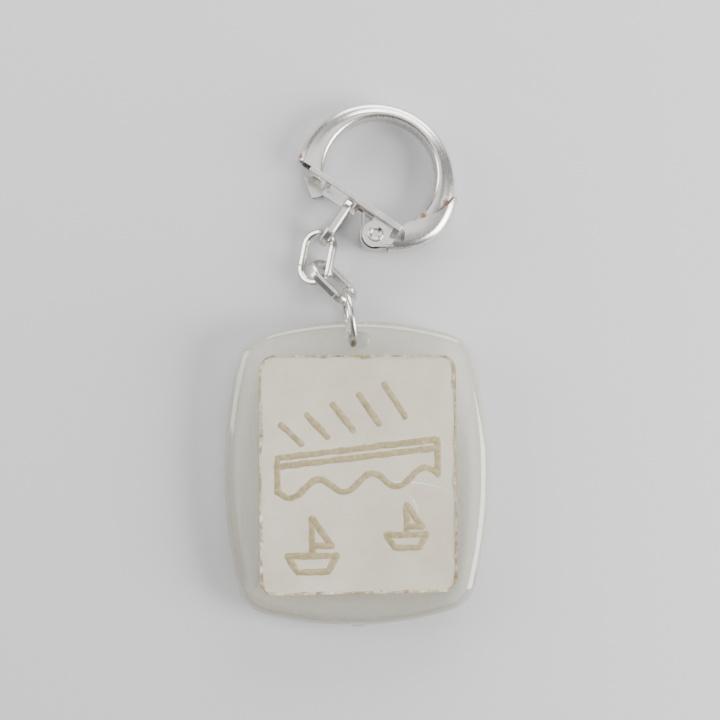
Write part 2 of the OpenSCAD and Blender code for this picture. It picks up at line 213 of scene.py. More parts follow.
def grade(tree, value, *stops):
    """Colours or greys along a value."""
    node = tree.nodes.new("ShaderNodeValToRGB")
    marks = node.color_ramp.elements
    while len(marks) < len(stops):
        marks.new(0.5)
    for mark, (at, shade) in zip(marks, stops):
        mark.position = at
        mark.color = (*shade, 1) if isinstance(shade, tuple) else (shade, shade, shade, 1)
    tree.links.new(value, node.inputs["Fac"])
    return node.outputs["Color"]


# %% Mixing helpers
def feed(tree, socket, value):
    if isinstance(value, bpy.types.NodeSocket):
        tree.links.new(value, socket)
    elif socket.type == "RGBA":
        socket.default_value = (*value, 1) if isinstance(value, tuple) else (value, value, value, 1)
    else:
        socket.default_value = value


def blend(tree, amount, low, high, way="MIX"):
    node = tree.nodes.new("ShaderNodeMix")
    node.data_type, node.blend_type, node.clamp_result = "RGBA", way, True
    feed(tree, node.inputs[0], amount)
    feed(tree, node.inputs[6], low)
    feed(tree, node.inputs[7], high)
    return node.outputs[2]


def sum_of(tree, a, b, way="ADD"):
    node = tree.nodes.new("ShaderNodeMath")
    node.operation, node.use_clamp = way, True
    feed(tree, node.inputs[0], a)
    feed(tree, node.inputs[1], b)
    return node.outputs[0]


def close_to(tree, place, point, reach):
    """1 at a point given in millimetres, fading to 0 at its reach."""
    gap = tree.nodes.new("ShaderNodeVectorMath")
    gap.operation = "DISTANCE"
    gap.inputs[1].default_value = [v / 1000 for v in point]
    tree.links.new(place, gap.inputs[0])
    fade = tree.nodes.new("ShaderNodeMapRange")
    for key, value in (("From Max", reach / 1000), ("To Min", 1), ("To Max", 0)):
        fade.inputs[key].default_value = value
    tree.links.new(gap.outputs["Value"], fade.inputs["Value"])
    return fade.outputs["Result"]


def relief(tree, shader, height, strength, depth):
    node = tree.nodes.new("ShaderNodeBump")
    node.inputs["Strength"].default_value = strength
    node.inputs["Distance"].default_value = depth / 1000
    tree.links.new(height, node.inputs["Height"])
    tree.links.new(node.outputs["Normal"], shader.inputs["Normal"])


# %% Plating
RUST, RUST_EDGE = (0.10, 0.045, 0.022), (0.27, 0.145, 0.075)


def plating(name, tint, shine, rust_at=(), streaks=30, bore_shade_at=()):
    """Bright plating: cloudy tint, scratches, pits, rusted blots at given points, and painted shade, a
    near-black colour, at the points given for a bore.
    """
    finish, tree, shader, place = start_finish(name)
    cloud = grain(tree, place, 0.45, 5)
    scratch = grain(tree, place, 1.5, 7, 0.72, (7, 0.6, 0.6), streaks)
    pits = grain(tree, place, 5.5, 3)
    deep = tuple(0.82 * c for c in tint)
    base = grade(tree, cloud, (0.3, tint), (0.72, deep))
    pitted = grade(tree, pits, (0.69, 0.0), (0.75, 1.0))
    base = blend(tree, sum_of(tree, pitted, 0.6, "MULTIPLY"), base, RUST_EDGE)
    blots = grade(tree, grain(tree, place, 2.2, 7, 0.68), (0.45, 0.0), (0.62, 1.0))
    freckles = grade(tree, grain(tree, place, 1.1, 8, 0.72), (0.69, 0.0), (0.75, 0.8))
    rust_and_bore_shade = sum_of(tree, freckles, 0.8, "MULTIPLY")
    ragged = grain(tree, place, 1.9, 8, 0.75)
    for point, reach in rust_at:
        here = sum_of(tree, close_to(tree, place, point, reach), ragged, "MULTIPLY")
        rust_and_bore_shade = sum_of(tree, rust_and_bore_shade, grade(tree, here, (0.17, 0.0), (0.34, 0.9)))
    base = blend(tree, rust_and_bore_shade, base, blend(tree, blots, RUST_EDGE, RUST))
    # Painted shade: a near-black colour laid round the given points darkens the eyelet's bore.
    for point, reach in bore_shade_at:
        rust_and_bore_shade = sum_of(tree, rust_and_bore_shade, sum_of(tree, close_to(tree, place, point, reach), 4.0, "MULTIPLY"))
    if bore_shade_at:
        base = blend(tree, rust_and_bore_shade, base, (0.012, 0.010, 0.008))
    tree.links.new(base, shader.inputs["Base Color"])
    worn = grade(tree, scratch, (0.4, shine), (0.62, shine + 0.04), (0.74, shine + 0.2))
    tree.links.new(blend(tree, rust_and_bore_shade, worn, 0.85), shader.inputs["Roughness"])
    dulled = sum_of(tree, rust_and_bore_shade, 0.8, "MULTIPLY")
    tree.links.new(sum_of(tree, 1.0, dulled, "SUBTRACT"), shader.inputs["Metallic"])
    relief(tree, shader, blend(tree, 0.5, scratch, cloud), 0.05, 0.04)
    return finish


def by_pivot(x, y, z):
    """A point in the snap ring's own frame, in millimetres."""
    return tuple(RING_TO_TABLE @ Vector((x, y, z)))


# %% Plated finishes
shell_plate = plating("ring plating", (0.80, 0.775, 0.72), 0.25, [
    (by_pivot(6.5, 10.4, 4.4), 1.5), (by_pivot(4.4, 6.6, 4.6), 1.3), (by_pivot(-16.2, 3.8, 3.6), 1.1)], 12)
sleeve_plate = plating("sleeve plating", (0.78, 0.755, 0.70), 0.24, [
    (by_pivot(6.4, 10.0, 4.6), 0.8), (by_pivot(1.4, -1.6, 2.4), 1.2)], -20)
gate_plate = plating("gate plating", (0.70, 0.675, 0.63), 0.22, [
    (by_pivot(-3.4, 2.3, 2.2), 2.4), (by_pivot(-9.9, 2.2, 0.6), 1.1), (by_pivot(-5.2, 2.2, 2.6), 1.0)], -34)
link_plate = plating("link plating", (0.74, 0.72, 0.67), 0.2, [
    ((-4.9, 36.6, 2.0), 1.2), ((-2.6, 28.2, 2.6), 1.2)], 8)
spring_plate = plating("spring steel", (0.60, 0.57, 0.53), 0.26, [], -50)
# The points along the pivot's axis are painted shade down the eyelet's bore.
eyelet_plate = plating("eyelet steel", (0.72, 0.70, 0.66), 0.2, [(by_pivot(0.2, 1.0, 4.8), 0.7)], 60,
                       [(by_pivot(0, 0, z), 0.86) for z in (0.9, 1.7, 2.6, 3.5, 4.3)])
print("plated finishes ready")

# %% [markdown]
# ## Finishes: clear plastic
#
# The fob is cast clear plastic that has yellowed and scuffed. Transmission with the
# refractive index of acrylic bends light at the rounded rim, and its tint is the
# yellow. A share of plain see-through is mixed in, so that light also reaches the
# table under the fob, and a thin white scatter where the plastic is scuffed.

# %% Clear plastic
def clear_plastic():
    finish, tree, shader, place = start_finish("yellowed clear plastic")
    shader.inputs["Transmission Weight"].default_value = 1.0
    shader.inputs["IOR"].default_value = 1.49
    shader.inputs["Coat Weight"].default_value = 1.0
    shader.inputs["Coat Roughness"].default_value = 0.04
    haze = grain(tree, place, 0.5, 6, 0.6)
    speck = grain(tree, place, 4.5, 6, 0.75)
    brushed = grain(tree, place, 2.2, 8, 0.8, (4, 0.5, 1), 4)
    nicks = grade(tree, grain(tree, place, 1.6, 8, 0.75, (6, 0.5, 1), 58), (0.67, 0.0), (0.71, 1.0))
    rubs = grade(tree, grain(tree, place, 1.3, 8, 0.75, (6, 0.4, 1), -31), (0.68, 0.0), (0.72, 1.0))
    lines = blend(tree, 1.0, nicks, rubs, "ADD")
    smooth = grade(tree, haze, (0.38, 0.03), (0.62, 0.10))
    tree.links.new(blend(tree, 0.3, smooth, lines, "ADD"), shader.inputs["Roughness"])
    tree.links.new(grade(tree, haze, (0.35, (0.985, 0.965, 0.875)), (0.7, (0.965, 0.935, 0.81))),
                   shader.inputs["Base Color"])
    relief(tree, shader, blend(tree, 0.5, lines, brushed), 0.16, 0.06)
    milky = tree.nodes.new("ShaderNodeBsdfDiffuse")
    milky.inputs["Color"].default_value = (0.94, 0.92, 0.83, 1)
    streaky = grade(tree, brushed, (0.35, 0.04), (0.62, 0.16))
    amount = blend(tree, 1.0, streaky, grade(tree, speck, (0.58, 0.0), (0.68, 0.22)), "ADD")
    through = tree.nodes.new("ShaderNodeBsdfTransparent")
    through.inputs["Color"].default_value = (0.985, 0.965, 0.90, 1)
    open_share = tree.nodes.new("ShaderNodeMixShader")
    open_share.inputs[0].default_value = 0.25
    tree.links.new(shader.outputs[0], open_share.inputs[1])
    tree.links.new(through.outputs[0], open_share.inputs[2])
    both = tree.nodes.new("ShaderNodeMixShader")
    tree.links.new(amount, both.inputs[0])
    tree.links.new(open_share.outputs[0], both.inputs[1])
    tree.links.new(milky.outputs[0], both.inputs[2])
    tree.links.new(both.outputs[0], tree.nodes["Material Output"].inputs["Surface"])
    return finish


plastic = clear_plastic()
print("clear plastic ready")

# %% [markdown]
# ## Finishes: card, paint and glue
#
# The card is ivory sheet with a soft shine, faint clouding and a few specks. The
# engraved strokes hold dull gold paint, thin in places. Old glue has gone brown and
# glassy where it fills the gap round the card.

# %% Card
SCRATCH_HALF = 0.06
SCRATCHES = [((5.5, -26.2, 5), 24.6, (8.6, -2.0, 5), 6.5), ((5.2, -6.6, 5), 3.7, (8.5, -4.9, 5), 2.6)]


def thin_ring(tree, place, centre, radius):
    """1 on a circle round a point given in millimetres, 0 a hair's breadth off it."""
    gap = tree.nodes.new("ShaderNodeVectorMath")
    gap.operation = "DISTANCE"
    gap.inputs[1].default_value = [v / 1000 for v in centre]
    tree.links.new(place, gap.inputs[0])
    off = tree.nodes.new("ShaderNodeMath")
    off.operation = "COMPARE"
    off.inputs[1].default_value, off.inputs[2].default_value = radius / 1000, SCRATCH_HALF / 1000
    tree.links.new(gap.outputs["Value"], off.inputs[0])
    return off.outputs[0]


def ivory_card():
    finish, tree, shader, place = start_finish("ivory card")
    cloud = grain(tree, place, 0.1, 4)
    speck = grain(tree, place, 1.9, 2)
    base = grade(tree, cloud, (0.35, (0.66, 0.61, 0.495)), (0.66, (0.56, 0.505, 0.39)))
    base = blend(tree, grade(tree, speck, (0.70, 0.0), (0.75, 0.8)), base, (0.42, 0.34, 0.22))
    for centre, radius, middle, reach in SCRATCHES:
        whole = thin_ring(tree, place, centre, radius)
        part = sum_of(tree, whole, close_to(tree, place, middle, reach), "MULTIPLY")
        base = blend(tree, part, base, (0.95, 0.93, 0.86))
    tree.links.new(base, shader.inputs["Base Color"])
    rubbed = grade(tree, grain(tree, place, 1.3, 8, 0.75, (6, 0.3, 1), 20), (0.62, 0.28), (0.72, 0.5))
    tree.links.new(rubbed, shader.inputs["Roughness"])
    relief(tree, shader, blend(tree, 0.5, speck, cloud), 0.12, 0.08)
    return finish


def gold_paint():
    finish, tree, shader, place = start_finish("dull gold paint")
    thin = grain(tree, place, 1.3, 7, 0.7)
    base = grade(tree, thin, (0.32, (0.27, 0.215, 0.10)), (0.52, (0.37, 0.305, 0.16)),
                 (0.72, (0.48, 0.42, 0.26)))
    tree.links.new(base, shader.inputs["Base Color"])
    tree.links.new(grade(tree, thin, (0.3, 0.42), (0.7, 0.65)), shader.inputs["Roughness"])
    relief(tree, shader, grain(tree, place, 4.5, 4), 0.35, 0.06)
    return finish


def old_glue():
    finish, tree, shader, place = start_finish("aged glue")
    patch = grain(tree, place, 0.8, 9, 0.72)
    base = grade(tree, patch, (0.36, (0.20, 0.135, 0.07)), (0.47, (0.42, 0.33, 0.19)),
                 (0.58, (0.68, 0.60, 0.43)), (0.7, (0.93, 0.92, 0.86)))
    tree.links.new(base, shader.inputs["Base Color"])
    tree.links.new(grade(tree, patch, (0.4, 0.5), (0.66, 0.1)), shader.inputs["Roughness"])
    relief(tree, shader, patch, 0.5, 0.12)
    return finish


card_finish, paint_finish, glue_finish = ivory_card(), gold_paint(), old_glue()
print("card, paint and glue ready")

# %% [markdown]
# ## The fob
#
# The outline is a barrel: four slow arcs joined by tight corners. One flat face is
# filled round the window and the hole, extruded to the full thickness, and the rim
# is rounded with a bevel of many segments, which is how a cast edge looks. The window
# goes right through at first, and two floors across it leave a pocket on each face.

# %% Barrel outline
side_c, top_c = FOB_W / 2 - SIDE_R, FOB_H / 2 - TOP_R
span = math.hypot(side_c, top_c)
along = ((SIDE_R - CORNER_R) ** 2 - (TOP_R - CORNER_R) ** 2 + span ** 2) / (2 * span)
across = math.sqrt((SIDE_R - CORNER_R) ** 2 - along ** 2)
corner_x = side_c - along * side_c / span - across * top_c / span
corner_y = along * top_c / span - across * side_c / span
side_end = math.degrees(math.atan2(corner_y, corner_x - side_c))
top_end = math.degrees(math.atan2(corner_y - top_c, corner_x))


def barrel():
    quarter = arc(side_c, 0, SIDE_R, 0, side_end, 14)[:-1]
    quarter += arc(corner_x, corner_y, CORNER_R, side_end, top_end, 16)[:-1]
    quarter += arc(0, top_c, TOP_R, top_end, 90, 14)
    half = quarter + [(-x, y) for x, y in reversed(quarter[1:-1])]
    return half + [(-quarter[0][0], 0.0)] + [(-x, -y) for x, y in half[1:]]


print("corner circle centre", round(corner_x, 3), round(corner_y, 3))


# %% Fob body
def loop_of(bm, points, z):
    verts = [bm.verts.new((x, y, z)) for x, y in points]
    return [bm.edges.new((verts[i - 1], verts[i])) for i in range(len(verts))]


def fob_body():
    bm = bmesh.new()
    window = card_outline(POCKET_W, POCKET_H, POCKET_R, 10)
    hole = arc(0, HOLE_Y, HOLE_R, 0, 351, 39)
    rim = loop_of(bm, barrel(), 0)
    frame_edge = loop_of(bm, window, 0)
    bore = loop_of(bm, hole, 0)
    bmesh.ops.triangle_fill(bm, edges=rim + frame_edge + bore, use_beauty=True)
    up = bmesh.ops.extrude_face_region(bm, geom=bm.faces[:])["geom"]
    bmesh.ops.translate(bm, verts=[g for g in up if isinstance(g, bmesh.types.BMVert)], vec=(0, 0, FOB_T))
    bm.edges.ensure_lookup_table()

    def edge_set(test):
        return [e for e in bm.edges if all(test(v.co) and v.co.z in (0.0, FOB_T) for v in e.verts)
                and abs(e.verts[0].co.z - e.verts[1].co.z) < 1e-6 and e.calc_face_angle(0) > 1.2]

    outer = edge_set(lambda c: (c.xy - Vector((0, HOLE_Y))).length > HOLE_R + 0.2
                     and (abs(c.x) > POCKET_W / 2 + 0.5 or abs(c.y) > POCKET_H / 2 + 0.5))
    bmesh.ops.bevel(bm, geom=outer, offset=RIM_ROUND, offset_type="OFFSET", segments=9, profile=0.5,
                    affect="EDGES", clamp_overlap=False, material=-1)
    round_hole = [e for e in bm.edges if e.calc_face_angle(0) > 1.2
                  and all((v.co.xy - Vector((0, HOLE_Y))).length < HOLE_R + 0.01 for v in e.verts)]
    bmesh.ops.bevel(bm, geom=round_hole, offset=HOLE_ROUND, offset_type="OFFSET", segments=4, profile=0.5,
                    affect="EDGES", clamp_overlap=False, material=-1)
    close_pockets(bm)
    piece = finish_piece("clear_fob", bm, FLAT_TO_FOB, "fob", plastic,
                         ["fob_body"], crisp=50)
    return combine(piece, gate_nub(), FLAT_TO_FOB, "UNION")


def gate_nub():
    """The stub where the moulding was snapped off its runner."""
    bm = bmesh.new()
    low = -FOB_H / 2
    outline = [(-1.2, low + 0.8), (-1.15, low - 0.22), (-0.7, low - 0.33), (0.5, low - 0.30),
               (1.1, low - 0.24), (1.2, low + 0.8)]
    faces = plate(bm, outline, FOB_T / 2 - 0.65, FOB_T / 2 + 0.65)
    edges = list(set(e for f in faces for e in f.edges))
    bmesh.ops.bevel(bm, geom=edges, offset=0.12, segments=3, profile=0.5, affect="EDGES", material=-1)
    return bm


def close_pockets(bm):
    """The window is open right through so far: two floors make it two pockets."""
    for floor in (CARD_T, FOB_T - POCKET_D):
        bmesh.ops.bisect_plane(bm, geom=[*bm.verts, *bm.edges, *bm.faces], dist=1e-5,
                               plane_co=(0, 0, floor), plane_no=(0, 0, 1))
    wall = [f for f in bm.faces if CARD_T < f.calc_center_median().z < FOB_T - POCKET_D
            and abs(f.calc_center_median().x) < POCKET_W / 2 + 0.01
            and abs(f.calc_center_median().y + POCKET_DROP) < POCKET_H / 2 + 0.01
            and (f.calc_center_median().xy - Vector((0, HOLE_Y))).length > HOLE_R + 0.8]
    bmesh.ops.delete(bm, geom=wall, context="FACES")
    rims = [e for e in bm.edges if e.is_boundary]
    bmesh.ops.holes_fill(bm, edges=rims, sides=0)


fob_body()

# %% [markdown]
# ## The cards and their motif
#
# Each card is a thin plate with eased edges. On the front one the strokes were cut by
# hand and filled with paint, so each stroke is its own little plate with round ends
# and a wavering edge, standing a hair above the card's face so that it catches light.

# %% Cards
def card(name, low, high, node):
    bm = bmesh.new()
    plate(bm, card_outline(CARD_W, CARD_H, POCKET_R - CARD_GAP), low, high)
    return finish_piece(name, bm, FLAT_TO_FOB, "fob", card_finish, [node], bevel=CARD_ROUND)


card("front_plate", FOB_T - POCKET_D, CARD_TOP, "front_card")
card("back_plate", 0.0, CARD_T, "back_card")


# %% One painted stroke
def stroke(bm, line, width, seed):
    """A ribbon along a line of points, with round ends and slightly wavering sides."""
    points = [Vector(line[0])]
    for p, q in zip(line, line[1:]):
        n = max(1, round((Vector(q) - Vector(p)).length / 0.5))
        points += [Vector(p).lerp(Vector(q), i / n) for i in range(1, n + 1)]
    left, right = [], []
    for i, p in enumerate(points):
        way = (points[min(i + 1, len(points) - 1)] - points[max(i - 1, 0)]).normalized()
        side = Vector((-way.y, way.x))
        waver = [noise.noise(Vector((p.x * 0.8, p.y * 0.8, seed + k))) for k in (0.3, 7.3)]
        left.append(p + side * width * (0.5 + 0.16 * waver[0]))
        right.append(p - side * width * (0.5 + 0.16 * waver[1]))
    caps = []
    for tip, near, start in ((points[-1], points[-2], left[-1]), (points[0], points[1], right[0])):
        way, arm = (tip - near).normalized(), start - tip
        caps.append([tip + arm * math.cos(a) + way * arm.length * math.sin(a)
                     for a in (math.radians(30 * k) for k in range(1, 6))])
    outline = [tuple(p) for p in left + caps[0] + list(reversed(right)) + caps[1]]
    faces = plate(bm, outline, CARD_TOP - 0.05, CARD_TOP + 0.03 + 0.003 * (seed % 5))
    top = max(faces, key=lambda f: f.calc_center_median().z)
    bmesh.ops.bevel(bm, geom=list(top.edges), offset=0.04, segments=2, profile=0.5,
                    affect="EDGES", material=-1)


# %% The motif
def wave(i):
    return -12.2 + 24.2 * i / 36, -2.7 + 2.4 * i / 36 - 1.2 * math.sin(math.radians(30 * i))


BOAT = [[(-4, 1.4), (-2.4, -1.2), (2.6, -1.2), (4, 1.4)], [(-4, 1.4), (4, 1.4)],
        [(0, 1.8), (0, 7.4)], [(0, 7.4), (3.2, 3.0)], [(3.2, 3.0), (0, 3.0)]]


def motif():
    lines = [[(-8.6 + 3.9 * i, 4.4 + i), (-11.6 + 3.9 * i, 7.2 + 1.5 * i)] for i in range(5)]
    lines += [[(-12.2, -2.7), (-12.2, 2.3), (12.0, 4.9), (12.0, -0.4)], [(-12.2, 1.0), (12.0, 3.6)]]
    lines.append([wave(i) for i in range(37)])
    for x, y, size in ((-7.0, -13.6, 0.92), (7.2, -10.4, 0.74)):
        lines += [[(x + size * p, y + size * q) for p, q in line] for line in BOAT]
    bm = bmesh.new()
    for seed, line in enumerate(lines):
        stroke(bm, line, STROKE_W, seed)
    return finish_piece("painted_motif", bm, FLAT_TO_FOB, "fob", paint_finish,
                        ["front_motif"])


motif()

# %% [markdown]
# ## The glue line
#
# Glue fills the gap round each card and has squeezed up unevenly. A plate the shape
# of the gap is cut into short stretches, and its top is pushed up and sideways by
# noise, so it looks like an irregular bead and not like a drawn line.

# %% Glue beads
def glue_bead(name, low, high, up, node, seed):
    bm = bmesh.new()
    outer = loop_of(bm, card_outline(POCKET_W - 0.01, POCKET_H - 0.01, POCKET_R, 8), low)
    inner = loop_of(bm, card_outline(CARD_W, CARD_H, POCKET_R - CARD_GAP, 8), low)
    for loop in (outer, inner):
        long_ones = [e for e in loop if e.calc_length() > 3]
        bmesh.ops.subdivide_edges(bm, edges=long_ones, cuts=70)
    bmesh.ops.bridge_loops(bm, edges=bm.edges[:])
    bmesh.ops.subdivide_edges(bm, edges=[e for e in bm.edges if not e.is_boundary], cuts=1)
    raised = bmesh.ops.extrude_face_region(bm, geom=bm.faces[:])["geom"]
    top = [g for g in raised if isinstance(g, bmesh.types.BMVert)]
    bmesh.ops.translate(bm, verts=top, vec=(0, 0, high - low))
    edge_x, edge_y = POCKET_W / 2 - 0.02, POCKET_H / 2 - 0.02
    for v in top:
        bump = noise.noise(Vector((v.co.x * 0.45, v.co.y * 0.45, seed)))
        fine = noise.noise(Vector((v.co.x * 2.9, v.co.y * 2.9, seed + 5)))
        depth = max(abs(v.co.x) - edge_x, abs(v.co.y + POCKET_DROP) - edge_y)
        inward = 0.42 * max(0.0, bump + 0.25) + 0.07 * fine
        if depth < -CARD_GAP * 0.9:
            pull = Vector((-v.co.x / edge_x, -(v.co.y + POCKET_DROP) / edge_y, 0)) * inward
            v.co += pull
        v.co.z += up * (0.06 + 0.06 * fine + (0.05 if abs(depth) < 0.2 else 0.0))
    return finish_piece(name, bm, FLAT_TO_FOB, "fob", glue_finish, [node], crisp=60)


glue_bead("front_glue", CARD_TOP - 0.3, CARD_TOP, 1, "front_cement", 3)
glue_bead("back_glue", 0.25, CARD_T - 0.05, 0, "back_cement", 8)

# %% [markdown]
# ## Chain links
#
# A chain link is flattened wire bent into a loop and closed with a butt joint that
# never quite meets. Its section is drawn once, spun half a turn round one end,
# extruded along the side, spun round the other end and extruded back, and the last
# hair's breadth is left open as the joint. A little noise makes each one hand-bent.
# The stock is drawn a little thinner than new, as worn links are, so that bent links
# stay clear of each other at the ends of their swings.

# %% Bend stock into a loop
def bent_loop(section, mid, half, gap, turns=28):
    """Spins and extrudes a section face into a long loop with a joint gap."""
    bm = bmesh.new()
    start = bm.faces.new([bm.verts.new((mid + x, half, z)) for x, z in section])
    geom = [start, *start.edges, *start.verts]
    for centre, way in (((0, half, 0), -1), ((0, -half, 0), 1)):
        done = bmesh.ops.spin(bm, geom=geom, cent=centre, axis=(0, 0, 1), angle=math.pi, steps=turns,
                              use_merge=False, use_duplicate=False)
        geom = done["geom_last"]
        if half > 0:
            length = 2 * half - (gap if way == 1 else 0)
            tip = [g for g in geom if isinstance(g, bmesh.types.BMFace)]
            geom = bmesh.ops.extrude_face_region(bm, geom=tip)["geom"]
            bmesh.ops.translate(bm, verts=[g for g in geom if isinstance(g, bmesh.types.BMVert)],
                                vec=(0, way * length, 0))
    return bm


def hand_bent(bm, amount, seed):
    for v in bm.verts:
        v.co += noise.noise_vector(v.co * 0.55 + Vector((seed, 0, 0))) * amount


# %% Link section
def stock_section(a, b, c):
    x, z = a / 2, b / 2
    lower = [(-x, -z + c), (-x + c, -z), (x - c, -z), (x, -z + c)]
    return lower + [(-p, -q) for p, q in lower]


def chain_link(name, place, body, node, flip, seed):
    mid, half = (LINK_W - LINK_A) / 2, (LINK_L - LINK_W) / 2
    bm = bent_loop(stock_section(LINK_A - WEAR, LINK_B - WEAR, LINK_C), mid, half, LINK_JOINT)
    bm.transform(turn(flip, "Z"))
    hand_bent(bm, HAND_BEND, seed)
    return finish_piece(name, bm, place, body, link_plate, [node], crisp=28, bevel=0.07)


chain_link("chain_link_3", LINK_3, "link_3", "link_3", 180, 1)
chain_link("chain_link_2", LINK_2, "link_2", "link_2", 180, 5)
chain_link("chain_link_1", LINK_1, "link_1", "link_1", 0, 9)

# %% [markdown]
# ## Jump ring
#
# Round wire wound once, with a butt joint too. Its section is a small circle, spun
# almost all the way round.

# %% Jump ring
def jump_ring():
    r = (JUMP_WIRE - WEAR) / 2
    section = arc(0, 0, r, 0, 342, 19)
    bm = bmesh.new()
    mid = (JUMP_OD - JUMP_WIRE) / 2
    start = bm.faces.new([bm.verts.new((mid + x, 0, z)) for x, z in section])
    bmesh.ops.spin(bm, geom=[start, *start.edges, *start.verts], cent=(0, 0, 0), axis=(0, 0, 1),
                   angle=math.radians(358.4), steps=110, use_merge=False, use_duplicate=False)
    bm.transform(turn(60, "Z"))
    return finish_piece("wire_jump_ring", bm, JUMP, "jump_ring", link_plate, ["jump_ring"],
                        crisp=40, bevel=0.05)


jump_ring()

# %% [markdown]
# ## Snap ring shell
#
# The ring is pressed from sheet: a hollow crescent whose two edges meet in a seam
# along the inner wall. One open outline of the sheet is spun round, then each ring of
# points is drawn to where the tapering crescent has it, and the sheet is given its
# thickness. Spinning first keeps the shine running cleanly along the curve.

# %% Crescent measures, with the pivot at the origin
RING_IN, RING_IN_R, RING_OUT, RING_OUT_R = Vector((-4.5, 8.45)), 8.8, Vector((-4.4, 7.05)), 12.5
TAPER, TAPER_R = Vector((-1.2, 8.1)), 9.4
SEAM, SEAM_R = Vector((-4.5, 13.0)), 11.6
RING_LOW, RING_HIGH, STEP, SHEET = 0.65, 4.55, 0.12, 0.42
OUT_EDGE, IN_EDGE, SEAM_GAP, FALL, SLEEVE_FALL = 1.3, 0.6, 0.12, 0.3, 0.2
NOSE_Y, WALL_END, RUN_IN = 3.28, 2.9, 0.12


def to_circle(angle, centre, radius):
    """Distance from the inner circle's centre to another circle, along an angle."""
    way = Vector((math.cos(angle), math.sin(angle)))
    offset = centre - RING_IN
    near = offset.dot(way)
    return near + math.sqrt(near * near - offset.length_squared + radius * radius)


def shell_edge(angle):
    return to_circle(angle, RING_OUT, RING_OUT_R)


def sleeve_edge(angle):
    """The smaller of the ring's edge and the taper, run softly into each other."""
    a = shell_edge(angle) + STEP
    b = to_circle(angle, TAPER, TAPER_R + STEP)
    return -RUN_IN * math.log(math.exp(-a / RUN_IN) + math.exp(-b / RUN_IN))


# %% Sheet outlines
def rolled(side, radius, z, start, end, n):
    """A rolled corner: (which wall, distance in from it, height)."""
    turn_points = arc(0, 0, radius, start, end, n)
    return [(side, radius - abs(x), z + y) for x, y in turn_points]


def shell_outline():
    low, high = RING_LOW, RING_HIGH
    middle = (low + high) / 2
    out = [(0, 0.0, middle - SEAM_GAP / 2), (0, 0.0, low + 1.0)]
    out += rolled(0, IN_EDGE, low + IN_EDGE, 0, -90, 5)
    out += [(t, 0.0, low) for t in (0.4, 0.7)]
    out += rolled(1, OUT_EDGE, low + OUT_EDGE, -90, 0, 9)
    out += rolled(1, OUT_EDGE, high - FALL - OUT_EDGE, 0, 80, 9)
    out += [(t, 0.0, high - FALL * t * t) for t in (0.85, 0.68, 0.5, 0.32, 0.15)]
    out += rolled(0, IN_EDGE, high - IN_EDGE, 90, 0, 6)
    return out + [(0, 0.0, high - 1.0), (0, 0.0, middle + SEAM_GAP / 2)]


def sleeve_outline():
    low, high = RING_LOW - STEP, RING_HIGH + STEP
    out = [(t, 0.0, low) for t in (0, 0.3, 0.6)]
    out += rolled(1, OUT_EDGE, low + OUT_EDGE, -90, 0, 9)
    out += rolled(1, OUT_EDGE, high - SLEEVE_FALL - OUT_EDGE, 0, 84, 9)
    return out + [(t, 0.0, high - SLEEVE_FALL * t * t) for t in (0.8, 0.6, 0.3, 0)]


# %% Draw the spun sheet to the crescent
def radius_at(angle, side, inset, edge):
    outer = edge(angle)
    return RING_IN_R + inset if side == 0 else (
        outer - inset if side == 1 else
        RING_IN_R + IN_EDGE + (outer - OUT_EDGE - RING_IN_R - IN_EDGE) * side)


def meets(test, low, high):
    """Angle at which a test changes sign, by halving."""
    for _ in range(34):
        half = (low + high) / 2
        low, high = (half, high) if test(half) * test(low) > 0 else (low, half)
    return (low + high) / 2


def at(angle, radius):
    return RING_IN + radius * Vector((math.cos(angle), math.sin(angle)))


def crescent_sheet(outline, edge, start_test, end_test, starts, ends, steps):
    bm = bmesh.new()
    line = [bm.verts.new((10.0 + i, 0, z)) for i, (_, _, z) in enumerate(outline)]
    rails = [bm.edges.new(pair) for pair in zip(line, line[1:])]
    bmesh.ops.spin(bm, geom=[*line, *rails], cent=(0, 0, 0), axis=(0, 0, 1), angle=math.radians(300),
                   steps=steps, use_merge=False, use_duplicate=False)
    limits = []
    for side, inset, _ in outline:
        def start_of(angle):
            return start_test(at(angle, radius_at(angle, side, inset, edge)))

        def end_of(angle):
            return end_test(at(angle, radius_at(angle, side, inset, edge)))
        limits.append((meets(start_of, *starts), meets(end_of, *ends)))
    for v in bm.verts:
        i = round(v.co.xy.length - 10.0)
        along = math.atan2(v.co.y, v.co.x) % (2 * math.pi) / math.radians(300)
        side, inset, _ = outline[i]
        angle = limits[i][0] + (limits[i][1] - limits[i][0]) * min(along, 1.0)
        v.co.x, v.co.y = at(angle, radius_at(angle, side, inset, edge))
    bmesh.ops.recalc_face_normals(bm, faces=bm.faces)
    return bm


# %% Ring shell
def seam_test(p):
    return (p - SEAM).length - SEAM_R


def ring_shell():
    bm = crescent_sheet(shell_outline(), shell_edge, seam_test, lambda p: p.y - NOSE_Y,
                        (math.radians(-50), math.radians(40)), (math.radians(170), math.radians(240)), 150)
    bmesh.ops.solidify(bm, geom=bm.faces[:], thickness=SHEET)
    return finish_piece("pressed_ring", bm, RING_TO_TABLE, "snap_ring", shell_plate,
                        ["ring_shell"], crisp=50)


ring_shell()

# %% [markdown]
# ## Hinge sleeve
#
# A second pressed sheet wraps the end of the ring and carries two teardrop ears for
# the rivet. It is made the same way, open towards the inside, and the ears are plates
# joined to it. A curved slot in its top lets the gate's tail swing.

# %% Ears and slot
EAR_R, EAR_T = 2.05, 0.45
SLOT_NEAR, SLOT_FAR, SLOT_SIDE = 2.2, 4.5, 2.78
SLEEVE_LOW, SLEEVE_HIGH = RING_LOW - STEP, RING_HIGH + STEP


def ear(z):
    bm = bmesh.new()
    outline = [(3.3, -0.05), (3.3, 1.15), (2.2, 0.95), (1.5, 1.4)] + arc(0, 0, EAR_R, 62, 290, 34)
    plate(bm, outline, z, z + EAR_T)
    return bm


